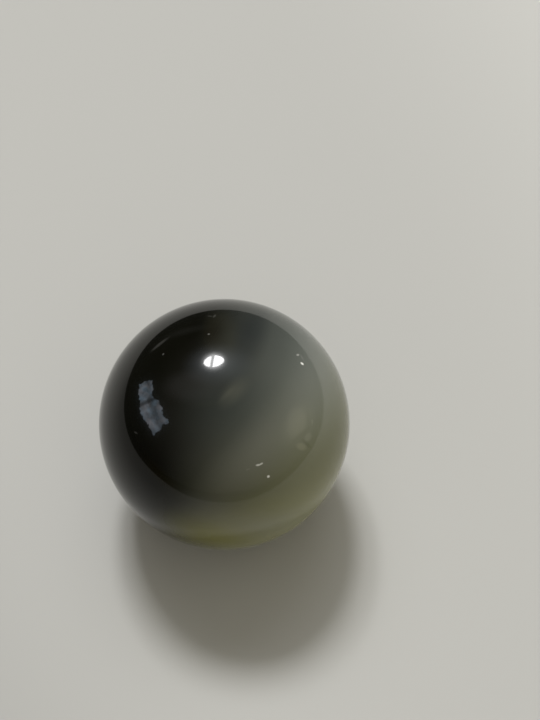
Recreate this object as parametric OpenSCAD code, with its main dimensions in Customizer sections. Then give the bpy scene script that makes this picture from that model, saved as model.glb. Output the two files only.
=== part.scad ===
// Playing marble: one solid ball of smoky, cloudy glass, formed round while hot.
// Millimetres. The origin is the centre of the ball and +Z is up, so the point
// that touches whatever holds the ball is straight below the origin.

/* [Ball] */
// Diameter of the finished ball
ball_d = 16; // [10:0.5:50]

/* [Hidden] */
// Facets round the ball in a preview; the solid itself is a true sphere
preview_facets = 180;
// Grey-green of the cloudy glass
glass_colour = [0.31, 0.32, 0.28];

// The ball is round in every direction: it has no flat, seam, hole or core.
module marble() {
    color(glass_colour)
        sphere(d = ball_d, $fn = preview_facets);
}

marble();
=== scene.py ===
import math

import bpy
import numpy as np
from mathutils import Matrix, Quaternion, Vector


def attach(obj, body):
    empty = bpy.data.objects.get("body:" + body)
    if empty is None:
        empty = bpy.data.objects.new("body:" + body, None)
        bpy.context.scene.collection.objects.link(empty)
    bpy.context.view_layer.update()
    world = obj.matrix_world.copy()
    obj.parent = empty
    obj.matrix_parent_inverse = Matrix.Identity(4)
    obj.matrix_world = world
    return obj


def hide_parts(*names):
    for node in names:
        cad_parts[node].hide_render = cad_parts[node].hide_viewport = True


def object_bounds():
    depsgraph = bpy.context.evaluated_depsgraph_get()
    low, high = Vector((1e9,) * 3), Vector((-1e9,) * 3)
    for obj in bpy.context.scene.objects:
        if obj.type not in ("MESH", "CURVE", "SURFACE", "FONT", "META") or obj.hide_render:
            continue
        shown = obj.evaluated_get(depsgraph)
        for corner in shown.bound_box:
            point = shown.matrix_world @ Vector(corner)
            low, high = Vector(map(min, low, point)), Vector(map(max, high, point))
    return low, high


# A glass marble on a pale sheet. The glass is smoky and cloudy: near black on the ball's left, and a milky
# grey-green on its right. In metres, with the ball's centre at the origin, +X to the viewer's right, +Y away
# from the viewer and +Z up.

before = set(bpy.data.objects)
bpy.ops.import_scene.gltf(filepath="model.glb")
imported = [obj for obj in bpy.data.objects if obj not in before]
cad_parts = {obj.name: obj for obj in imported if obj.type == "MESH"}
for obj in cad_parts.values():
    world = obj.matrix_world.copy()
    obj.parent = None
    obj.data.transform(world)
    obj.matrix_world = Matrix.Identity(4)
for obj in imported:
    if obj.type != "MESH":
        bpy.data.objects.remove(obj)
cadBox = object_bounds()
ballCentre = (cadBox[0] + cadBox[1]) / 2
ballRadius = (cadBox[1].z - cadBox[0].z) / 2
floorHeight = cadBox[0].z
print(f"frame loaded, ball {ballRadius * 2000:.2f} mm across")


def bearing(degrees, height):
    # unit vector: degrees clockwise from +Y seen from above, height in degrees over the horizon
    turn, rise = math.radians(degrees), math.radians(height)
    return Vector((math.sin(turn) * math.cos(rise), math.cos(turn) * math.cos(rise), math.sin(rise)))


cameraPlan = {
    "lens": 70.0,  # mm, on a sensor 36 mm along the picture's long side
    "sensor": 36.0,
    "clip": (0.005, 10.0),
    "tilt": 29.0,  # degrees that the camera leans back from looking straight down
    "distance": 11.22,  # from the lens to the ball's centre, in ball radii
    "ballRight": -0.063,  # the ball's place from the picture's middle, in picture heights
    "ballUp": -0.0887,
}


def makeCamera(plan):
    data = bpy.data.cameras.new("main_camera")
    data.sensor_width = plan["sensor"]
    data.lens = plan["lens"]
    data.clip_start, data.clip_end = plan["clip"]
    camera = bpy.data.objects.new("main_camera", data)
    bpy.context.scene.collection.objects.link(camera)
    tilt = math.radians(plan["tilt"])
    right = Vector((1, 0, 0))
    up = Vector((0, math.cos(tilt), math.sin(tilt)))
    ahead = Vector((0, math.sin(tilt), -math.cos(tilt)))
    slope = plan["sensor"] / plan["lens"]  # one picture height, seen from the lens
    toBall = ahead + right * (plan["ballRight"] * slope) + up * (plan["ballUp"] * slope)
    camera.location = ballCentre - toBall.normalized() * (plan["distance"] * ballRadius)
    camera.rotation_euler = (tilt, 0, 0)
    bpy.context.scene.camera = camera


makeCamera(cameraPlan)
print("camera made")


class Signal:
    # a node's output that can stand in a sum, such as 1 - mask or height * 2 + 0.5
    def __init__(self, shader, socket):
        self.shader = shader
        self.socket = socket

    def maths(self, operation, *values):
        return self.shader.add("ShaderNodeMath", {"operation": operation}, dict(enumerate(values)))

    def __add__(self, other):
        return self.maths("ADD", self, other)

    def __radd__(self, other):
        return self.maths("ADD", other, self)

    def __sub__(self, other):
        return self.maths("SUBTRACT", self, other)

    def __rsub__(self, other):
        return self.maths("SUBTRACT", other, self)

    def __mul__(self, other):
        return self.maths("MULTIPLY", self, other)

    def __rmul__(self, other):
        return self.maths("MULTIPLY", other, self)

    def __truediv__(self, other):
        return self.maths("DIVIDE", self, other)

    def __pow__(self, other):
        return self.maths("POWER", self, other)

    def size(self):
        return self.maths("ABSOLUTE", self)

    def smaller(self, other):
        return self.maths("MINIMUM", self, other)

    def rise(self, low, high):
        # 0 below low and 1 above high, with an eased slope between them
        settings = {"interpolation_type": "SMOOTHSTEP"}
        sockets = {"Value": self, "From Min": low, "From Max": high}
        return self.shader.add("ShaderNodeMapRange", settings, sockets)


class Shader:
    # the nodes of one material, lamp or world, which end in the output of its kind
    def __init__(self, owner, output="ShaderNodeOutputMaterial"):
        owner.use_nodes = True
        self.owner = owner
        self.output = output
        self.tree = owner.node_tree
        self.tree.nodes.clear()

    def add(self, kind, settings=None, sockets=None, out=0):
        # any node: its type, its settings, then the values or links of its sockets
        node = self.tree.nodes.new(kind)
        for key, value in (settings or {}).items():
            setattr(node, key, value)
        for key, value in (sockets or {}).items():
            if isinstance(value, Signal):
                self.tree.links.new(value.socket, node.inputs[key])
            else:
                node.inputs[key].default_value = value
        return Signal(self, node.outputs[out]) if len(node.outputs) else None

    def place(self):
        return self.add("ShaderNodeTexCoord", out="Object")

    def parts(self, vector):
        # a vector's x and y
        return [self.add("ShaderNodeSeparateXYZ", sockets={0: vector}, out=axis) for axis in "XY"]

    def length(self, vector):
        return self.add("ShaderNodeVectorMath", {"operation": "LENGTH"}, {0: vector}, "Value")

    def dot(self, vector, direction):
        settings = {"operation": "DOT_PRODUCT"}
        return self.add("ShaderNodeVectorMath", settings, {0: vector, 1: tuple(direction)}, "Value")

    def noise(self, vector, scale, detail, strength, twist=0.0):
        # centred on 0, and mostly within a fifth of the strength
        sockets = {"Vector": vector, "Scale": scale, "Detail": detail, "Distortion": twist}
        return (self.add("ShaderNodeTexNoise", sockets=sockets) - 0.5) * strength

    def mix(self, share, one, other):
        # a colour: one where share is 0, other where it is 1
        return self.add("ShaderNodeMix", {"data_type": "RGBA"}, {0: share, 6: one, 7: other}, 2)

    def finish(self, surface):
        self.add(self.output, sockets={"Surface": surface})
        return self.owner


def rgb(red, green, blue):
    return (red, green, blue, 1.0)


def outwards(x, y, halfWide, halfHigh, power=2):
    # 0 in the middle of an oval and 1 on its rim; a power over 2 squares its corners
    return ((x / halfWide) ** power + (y / halfHigh) ** power) ** (1 / power)


def band(way, middle, full, gone):
    # 1 as far as full from the band's middle, and 0 from gone on
    return 1 - (way - middle).size().rise(full, gone)


marblePlan = {
    "around": 320,  # faces round the ball
    "down": 160,  # faces from the top to the bottom
}


def ballSurface(plan, centre, radius):
    # a point is centre + radius * (sin a cos t, sin a sin t, cos a), with a from the top and t all round
    around, down = plan["around"], plan["down"]
    fromTop = np.linspace(0, np.pi, down + 1)[1:-1, None]
    turn = np.linspace(0, 2 * np.pi, around, endpoint=False)[None, :]
    rings = np.stack(
        [
            np.sin(fromTop) * np.cos(turn),
            np.sin(fromTop) * np.sin(turn),
            np.cos(fromTop) * np.ones_like(turn),
        ],
        axis=-1,
    ).reshape(-1, 3)
    points = np.vstack([rings, [[0, 0, 1]], [[0, 0, -1]]]) * radius + np.array(centre)
    top, bottom = len(points) - 2, len(points) - 1
    ringStart = np.arange(down - 1)[:, None] * around
    here = np.arange(around)[None, :]
    after = (here + 1) % around
    upper, lower = ringStart[:-1], ringStart[1:]
    quads = np.stack([upper + here, lower + here, lower + after, upper + after], axis=-1).reshape(-1, 4)
    last = ringStart[-1]
    topCap = np.stack([here[0], after[0], np.full(around, top)], axis=-1)
    bottomCap = np.stack([last + after[0], last + here[0], np.full(around, bottom)], axis=-1)
    return points, quads.tolist() + topCap.tolist() + bottomCap.tolist()


def makePiece(name, points, faces, material):
    mesh = bpy.data.meshes.new(name)
    mesh.from_pydata(points.tolist(), [], faces)
    mesh.polygons.foreach_set("use_smooth", [True] * len(mesh.polygons))
    mesh.materials.append(material)
    mesh.update()
    piece = bpy.data.objects.new(name, mesh)
    bpy.context.scene.collection.objects.link(piece)
    return piece


glassPlan = {
    "paleSide": bearing(101, -14),  # the milky side faces this way
    "paleRange": (-0.5, 0.73),  # along that axis, in ball radii, the glass goes from clear to full milk
    "upSide": bearing(-31, 55),
    "upRange": (-0.8, 0.77),  # along that one the milk goes from olive to grey; the lighter olive on the side away from the lamp is partly painted light that the glass lets through
    "clear": rgb(0.003, 0.003, 0.0015),
    "milkBelowAndPaintedLight": rgb(0.3, 0.3, 0.15),
    "milkAbove": rgb(0.145, 0.16, 0.145),
    "swirl": (1.0, 3.0, 0.08, 0.8),  # how the milk drifts: scale, detail, strength in ball radii and twist
    "swirlLean": (35, 20, 0),  # degrees
    "swirlScale": (0.8, 0.8, 2.4),
    "roughness": 0.03,
    "wornRoughness": 0.5,  # how much rougher a nick is
    "ior": 1.32,
    "haze": 0.08,  # a thin worn skin that spreads a highlight
    "hazeRoughness": 0.22,
    "nick": rgb(0.95, 0.95, 0.9),
}

milkColour = rgb(0.44, 0.44, 0.36)
shadeColour = rgb(0.1, 0.11, 0.06)
# soft ovals of colour in the glass, a few of which are partly painted light: where each faces as a bearing,
# its slant from level in degrees, its half length and half width in millimetres, how soft its edge is, its
# colour and how much of that it takes
tints = {
    # the cloud and the cloud low are partly a milky cloud in the glass and partly painted glow round the
    # lamp's highlight
    "cloud": ((-104, 89.3), 77, (1.26, 0.84), 1.0, rgb(0.18, 0.21, 0.25), 0.15),
    "cloud far": ((-1, 74), 92, (2.3, 0.9), 0.5, rgb(0.28, 0.24, 0.1), 0.02),
    "cloud low": ((-130, 74.7), 43, (1.58, 0.86), 0.5, rgb(0.21, 0.21, 0.22), 0.04),
    "cloud edge": ((-165, 71.5), 18, (0.7, 0.15), 1.0, shadeColour, 0.03),
    "cloud right": ((83, 39), -22, (3.44, 1.77), 0.91, rgb(0.5, 0.52, 0.51), 0.14),
    "clear patch": ((169, 70), 9, (2.2, 1.5), 1.0, rgb(0.01, 0.02, 0.02), 0.27),
    "brown band": ((-149, 33), -17, (1.2, 0.35), 1.0, rgb(0.03, 0.02, 0.0), 0.12),
    "brown stain": ((-11.6, 72), 76, (0.9, 0.42), 1.0, rgb(0.003, 0.001, 0.0), 0.25),
    "shade top": ((36, 66), -67, (2.55, 0.7), 0.8, rgb(0.001, 0.004, 0.01), 0.32),
    "faint arc": ((-40, 64), -34, (1.05, 0.25), 1.0, rgb(0.21, 0.21, 0.2), 0.02),
    "wisp": ((155, 76), 24, (0.8, 0.4), 1.0, rgb(0.32, 0.31, 0.23), 0.09),
    "wisp ridge": ((168, 76), 35, (0.5, 0.13), 0.9, rgb(0.3, 0.3, 0.23), 0.045),
    "milk lobe": ((122.6, 47), 5, (1.05, 0.65), 0.9, rgb(0.47, 0.47, 0.35), 0.14),
    "lobe edge": ((123, 48), 31, (0.94, 0.66), 0.3, rgb(0.42, 0.42, 0.34), 0.065),
    "lobe shade": ((126, 43), -11, (0.63, 0.14), 0.9, shadeColour, 0.16),
    "lobe side": ((115, 44.3), 37, (0.56, 0.13), 0.9, shadeColour, 0.07),
    "short streak": ((114.8, 41.6), 35, (0.15, 0.06), 0.7, milkColour, 0.15),
    "curl": ((129.9, 38.8), -59, (0.37, 0.2), 0.5, rgb(0.47, 0.46, 0.33), 0.19),
    "curl light": ((123.3, 39.2), -12, (0.29, 0.22), 0.5, milkColour, 0.16),
    "curl dark": ((126.3, 37.7), -83, (0.38, 0.09), 1.0, shadeColour, 0.25),
    # the next oval is partly olive glass and partly painted light: the lamp's light focused through the ball
    # onto its side away from the lamp
    "olive patch and painted caustic": ((180, 8.4), 15, (2.51, 1.57), 1.0, rgb(0.26, 0.25, 0.035), 0.54),
    "olive rim": ((167.3, 10.8), -29, (2.93, 1.19), 1.0, rgb(0.29, 0.31, 0.43), 0.2),
    "pale patch": ((162, 44.6), 34, (3.68, 1.13), 1.0, rgb(0.24, 0.24, 0.21), 0.24),
}
# nicks, specks and a scratch in the skin, with how worn each is for its last value
nicks = {
    "dash left": ((157.8, 43.1), -12, (0.13, 0.06), 0.5, 0.55),
    "dash right": ((155.8, 43.1), 7, (0.1, 0.055), 0.5, 0.5),
    "dot": ((154.2, 36.2), 0, (0.08, 0.08), 0.5, 0.95),
    "faint dash": ((164.1, 42.6), 6, (0.12, 0.05), 0.6, 0.03),
    "bright chip": ((79.1, 51.9), 70, (0.11, 0.08), 0.5, 1.0),
    "chip rim": ((72, 52.9), -69, (0.12, 0.06), 0.6, 0.3),
    "chip side": ((73.7, 50.9), 15, (0.18, 0.05), 0.6, 0.06),
    "speck high": ((-19.3, 73), 0, (0.07, 0.06), 0.5, 0.1),
    "speck left": ((-72, 62.6), 0, (0.07, 0.06), 0.5, 0.07),
    "speck low": ((-122.2, 41.2), 26, (0.14, 0.05), 0.6, 0.03),
    "hook": ((-7.1, 60.8), 66, (0.17, 0.07), 0.6, 0.035),
    "hook end": ((-11.1, 60.4), -33, (0.16, 0.07), 0.6, 0.02),
    "scratch": ((-61.9, 57.6), -30, (0.54, 0.12), 0.7, 0.03),
}


def oval(shader, inRadii, facing, slant, halfSizes, soft):
    # 1 in the middle of an oval on the ball's skin and 0 outside it
    outward = bearing(*facing)
    level = Vector((0, 0, 1)).cross(outward).normalized()
    along = Matrix.Rotation(math.radians(slant), 3, outward) @ level
    axes = Matrix((along, outward.cross(along), outward)).transposed()
    halfLong, halfWide = (0.001 * half / ballRadius for half in halfSizes)
    own = shader.add(
        "ShaderNodeMapping",
        {"vector_type": "TEXTURE"},
        {
            "Vector": inRadii,
            "Location": outward,
            "Rotation": axes.to_euler(),
            "Scale": (halfLong, halfWide, 1.0),
        },
    )
    return 1 - shader.length(own).rise(1 - soft, 1 + soft)


def smokyGlass(plan, tints, nicks):
    shader = Shader(bpy.data.materials.new("smoky_glass"))
    perRadius = (1 / ballRadius,) * 3
    inRadii = shader.add("ShaderNodeMapping", sockets={"Vector": shader.place(), "Scale": perRadius})
    lean = tuple(math.radians(angle) for angle in plan["swirlLean"])
    stretched = shader.add(
        "ShaderNodeMapping", sockets={"Vector": inRadii, "Rotation": lean, "Scale": plan["swirlScale"]}
    )
    drift = shader.noise(stretched, *plan["swirl"])
    pale = (shader.dot(inRadii, plan["paleSide"]) + drift).rise(*plan["paleRange"])
    # the milk is lighter on the side away from the lamp: partly its own olive, partly painted light let
    # through the glass
    up = shader.dot(inRadii, plan["upSide"]).rise(*plan["upRange"])
    colour = shader.mix(pale, plan["clear"], shader.mix(up, plan["milkBelowAndPaintedLight"], plan["milkAbove"]))
    for *shape, tint, share in tints.values():
        colour = shader.mix(oval(shader, inRadii, *shape) * share, colour, tint)
    worn = 0.0
    for *shape, share in nicks.values():
        nick = oval(shader, inRadii, *shape) * share
        colour = shader.mix(nick, colour, plan["nick"])
        worn = worn + nick
    glass = shader.add(
        "ShaderNodeBsdfPrincipled",
        sockets={
            "Base Color": colour,
            "Roughness": plan["roughness"] + worn * plan["wornRoughness"],
            "IOR": plan["ior"],
            "Coat Weight": plan["haze"],
            "Coat Roughness": plan["hazeRoughness"],
        },
    )
    return shader.finish(glass)


points, faces = ballSurface(marblePlan, ballCentre, ballRadius)
marble = makePiece("marble_glass", points, faces, smokyGlass(glassPlan, tints, nicks))
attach(marble, "root")
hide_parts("marble")
print(f"marble made, {len(faces)} faces")

floorPlan = {
    "reach": 2.0,  # half the floor's side
    # a pale sheet lies on a dark table: a rounded oblong about this point
    "paperMiddle": (-0.008, 0.005, 0.0),
    "paperHalf": (0.095, 0.074),
    "paperTurn": 5,  # degrees, anticlockwise seen from above
    "paperRound": 6,  # 2 would make it an oval, more makes its corners squarer
    "paperFade": 0.03,  # the share of its half sizes in which it turns into the table
    "paper": rgb(0.53, 0.53, 0.515),
    "paperPaintedLight": rgb(0.72, 0.72, 0.7),
    "brightEnd": bearing(70, 0),  # the sheet is painted brighter on this side of the ball, as painted light
    "brighten": (0.015, 0.07),  # how far out that begins and ends
    "paperPaintedShade": rgb(0.36, 0.36, 0.35),
    "dimEnd": bearing(228, 0),  # and painted darker on this one, as painted shade
    "dim": (0.008, 0.046),
    "table": rgb(0.03, 0.03, 0.03),
}


def makeFloor(plan):
    shader = Shader(bpy.data.materials.new("pale_floor"))
    place = shader.place()
    turn = (0, 0, math.radians(plan["paperTurn"]))
    onSheet = shader.add(
        "ShaderNodeMapping",
        {"vector_type": "TEXTURE"},
        {"Vector": place, "Location": plan["paperMiddle"], "Rotation": turn},
    )
    fromMiddle = outwards(*shader.parts(onSheet), *plan["paperHalf"], plan["paperRound"])
    # painted light on one side of the sheet and painted shade on the other
    brighter = shader.dot(place, plan["brightEnd"]).rise(*plan["brighten"])
    dimmer = shader.dot(place, plan["dimEnd"]).rise(*plan["dim"])
    paper = shader.mix(brighter, plan["paper"], plan["paperPaintedLight"])
    paper = shader.mix(dimmer, paper, plan["paperPaintedShade"])
    colour = shader.mix(fromMiddle.rise(1.0, 1.0 + plan["paperFade"]), paper, plan["table"])
    material = shader.finish(shader.add("ShaderNodeBsdfDiffuse", sockets={"Color": colour}))
    reach = plan["reach"]
    corners = [[-reach, -reach], [reach, -reach], [reach, reach], [-reach, reach]]
    points = np.array([[x, y, floorHeight] for x, y in corners])
    makePiece("floor", points, [[0, 1, 2, 3]], material)


makeFloor(floorPlan)
print("floor made")

roomPlan = {
    "dim": rgb(0.045, 0.043, 0.04),
    "bright": rgb(0.465, 0.44, 0.37),
    "brightSide": (0.25, -0.35, 0.9),  # overhead, a little towards the viewer
    "brightRange": (-0.1, 1.0),  # along that way the room goes from dim to bright
}


def makeRoom(plan):
    world = bpy.data.worlds.new("dim_room")
    shader = Shader(world, "ShaderNodeOutputWorld")
    way = shader.add("ShaderNodeTexCoord", out="Generated")
    share = shader.dot(way, plan["brightSide"]).rise(*plan["brightRange"])
    colour = shader.mix(share, plan["dim"], plan["bright"])
    bpy.context.scene.world = shader.finish(shader.add("ShaderNodeBackground", sockets={"Color": colour}))


makeRoom(roomPlan)


def makeLamp(name, shape, size, expected, place, aim, pattern, turn=0):
    # An oblong or oval lamp. pattern(shader, x, y), with x and y from its middle, gives what its Emission
    # node takes, and expected is the glow by which Cycles shares out its samples among the lamps.
    data = bpy.data.lights.new(name, "AREA")
    data.shape = shape
    data.size, data.size_y = size
    area = size[0] * size[1] * (math.pi / 4 if shape == "ELLIPSE" else 1)
    data.energy = math.pi * area * expected  # so a strength of 1 glows with expected
    shader = Shader(data, "ShaderNodeOutputLight")
    overIt = shader.parts(shader.add("ShaderNodeNewGeometry", out="Parametric"))
    x, y = ((share - 0.5) * side for share, side in zip(overIt, size))
    sockets = pattern(shader, x, y)
    sockets["Strength"] = sockets["Strength"] / expected
    shader.finish(shader.add("ShaderNodeEmission", sockets=sockets))
    lamp = bpy.data.objects.new(name, data)
    bpy.context.scene.collection.objects.link(lamp)
    lamp.location = place
    lamp.rotation_mode = "QUATERNION"
    lamp.rotation_quaternion = aim.to_track_quat("-Z", "Y") @ Quaternion((0, 0, 1), math.radians(turn))
    lamp.visible_camera = False
    return lamp


lampPlan = {
    "away": 2.0,
    "bearing": (-14, 57.7),
    "turn": -4,  # degrees about its own aim
    "core": (0.55, 0.39),  # the bright oval's width and height
    "coreEdge": 0.08,  # the share of those in which it fades
    "glow": 53.0,
    "bar": (0.047, 0.022, 0.055),  # a dimmer bar across the core: its middle, and where its shade ends
    "barDim": 0.71,
    "barLean": -0.31,
    "glareAway": 1.98,
    "glareReach": 0.5,  # half the width of the glare round the core, which only reflections show
    "glareGlow": 146.0,  # it would be this in the middle
    "glareFade": 4.1,
    "glareExpected": 0.3,
}


def makeOvalLamp(plan):
    # a bright oval core with a dimmer bar across it, and round it a glare that falls off to its rim
    edge = plan["coreEdge"]
    halfWide, halfHigh = (side / 2 for side in plan["core"])
    reach = plan["glareReach"]

    def coreOf(x, y):
        return 1 - outwards(x, y, halfWide, halfHigh).rise(1 - edge, 1 + edge)

    def core(shader, x, y):
        bar = band(x + y * plan["barLean"], *plan["bar"])
        return {"Strength": coreOf(x, y) * (1 - bar * plan["barDim"]) * plan["glow"]}

    def glare(shader, x, y):
        inside = 1 - outwards(x, y, reach, reach)
        return {"Strength": (1 - coreOf(x, y)) * inside ** plan["glareFade"] * plan["glareGlow"]}

    towards = bearing(*plan["bearing"])
    size = [side * (1 + edge) for side in plan["core"]]
    middle = towards * plan["away"]
    makeLamp("oval_lamp", "ELLIPSE", size, plan["glow"], middle, -towards, core, plan["turn"])
    size, expected = (2 * reach, 2 * reach), plan["glareExpected"]
    middle = towards * plan["glareAway"]
    lamp = makeLamp("lamp_glare", "ELLIPSE", size, expected, middle, -towards, glare, plan["turn"])
    lamp.visible_diffuse = False


makeOvalLamp(lampPlan)

# a weak light about the lamp, which no reflection shows and which softens the shadow
softPlan = {
    "away": 2.02,
    "bearing": (-4, 58.2),
    "turn": -3,
    "size": (2.15, 0.75),
    "glow": 3.7,
    "fade": 0.8,  # how much of that is gone at its rim
}


def makeSoftLight(plan):
    size, glow = plan["size"], plan["glow"]

    def pattern(shader, x, y):
        fromMiddle = outwards(x, y, size[0] / 2, size[1] / 2)
        return {"Strength": (1 - plan["fade"] * fromMiddle**2) * glow}

    towards = bearing(*plan["bearing"])
    middle = towards * plan["away"]
    lamp = makeLamp("soft_light", "ELLIPSE", size, glow, middle, -towards, pattern, plan["turn"])
    lamp.visible_glossy = False


makeSoftLight(softPlan)

# sizes and places are in away, and are taken along the wall and up from the window's middle
windowPlan = {
    "away": 0.5,  # from the ball's centre to the wall
    "bearing": -122.0,
    "middle": (0.87, 0.51),  # from the point of the wall straight ahead
    "size": (1.6, 0.8),  # of the lamp behind the window
    "panes": (0.02, 0.04),
    "panesHalf": (0.65, 0.26),
    "uprightBar": (0.045, 0.012, 0.084),  # a bar's middle, and where its shade ends
    "uprightDim": 0.7,
    "levelBar": (0.08, 0.018, 0.126),
    "levelDim": 0.4,
    "edge": (-0.005, 0.02),
    "ragged": (11.0, 3.0, 0.16),  # small leaves that nibble at the edge: scale, detail and strength
    "mottle": (6.0, 4.0, 2.4),  # light and shade among the leaves
    "tones": (5.0, 2.0, 3.0),  # drifts from cool to warm
    "tonesApart": 5.0,  # keeps them from following the mottle
    "shadeEnd": (-0.68, -0.4),  # the left end is in shade
    "shade": 0.5,
    "cool": rgb(0.6, 0.8, 1.0),
    "warm": rgb(0.8, 0.83, 0.92),
    "glow": 3.3,
    "expected": 0.1,
}
# boughs that hide parts of the panes: their middles and half sizes
leaves = {
    "top long": ((-0.4, 0.37), (0.4, 0.13)),
    "top middle": ((-0.08, 0.3), (0.16, 0.13)),
    "top tip": ((0.1, 0.37), (0.12, 0.1)),
    "top right": ((0.48, 0.35), (0.13, 0.12)),
    "top corner": ((0.68, 0.38), (0.12, 0.12)),
    "right": ((0.76, 0.08), (0.13, 0.07)),
    "low right": ((0.56, -0.27), (0.22, 0.11)),
    "low middle": ((0.03, -0.29), (0.14, 0.08)),
    "low left": ((-0.32, -0.31), (0.3, 0.1)),
    "left": ((-0.78, -0.3), (0.24, 0.34)),
}


def makeWindow(plan, leaves):
    away = plan["away"]

    def openWay(x, y):
        # how far it is to the nearest edge, of a pane or a bough, over 0 where the light comes through
        (middleX, middleY), (halfX, halfY) = plan["panes"], plan["panesHalf"]
        way = (halfX - (x - middleX).size()).smaller(halfY - (y - middleY).size())
        for (leafX, leafY), (halfWide, halfHigh) in leaves.values():
            fromLeaf = outwards(x - leafX, y - leafY, halfWide, halfHigh) - 1
            way = way.smaller(fromLeaf * halfHigh)
        return way

    def pattern(shader, x, y):
        x, y = x / away, y / away
        spot = shader.add("ShaderNodeCombineXYZ", sockets={0: x, 1: y})
        elsewhere = shader.add("ShaderNodeCombineXYZ", sockets={0: x, 1: y, 2: plan["tonesApart"]})
        shown = (openWay(x, y) + shader.noise(spot, *plan["ragged"])).rise(*plan["edge"])
        for bar, place in (("upright", x), ("level", y)):
            shown = shown * (1 - band(place, *plan[bar + "Bar"]) * plan[bar + "Dim"])
        leafy = 1 + shader.noise(spot, *plan["mottle"])
        shade = 1 - plan["shade"] * (1 - x.rise(*plan["shadeEnd"]))
        tone = (0.5 + shader.noise(elsewhere, *plan["tones"])).rise(0.0, 1.0)
        colour = shader.mix(tone, plan["cool"], plan["warm"])
        return {"Color": colour, "Strength": shown * leafy * shade * plan["glow"]}

    wall = bearing(plan["bearing"], 0)
    sideways = bearing(plan["bearing"] + 90, 0)
    along, up = plan["middle"]
    middle = (wall + sideways * along + Vector((0, 0, up))) * away
    size = [side * away for side in plan["size"]]
    lamp = makeLamp("leafy_window", "RECTANGLE", size, plan["expected"], middle, -wall, pattern)
    lamp.visible_diffuse = False


makeWindow(windowPlan, leaves)
bpy.context.scene.view_settings.view_transform = "Standard"
print("room and lights made")
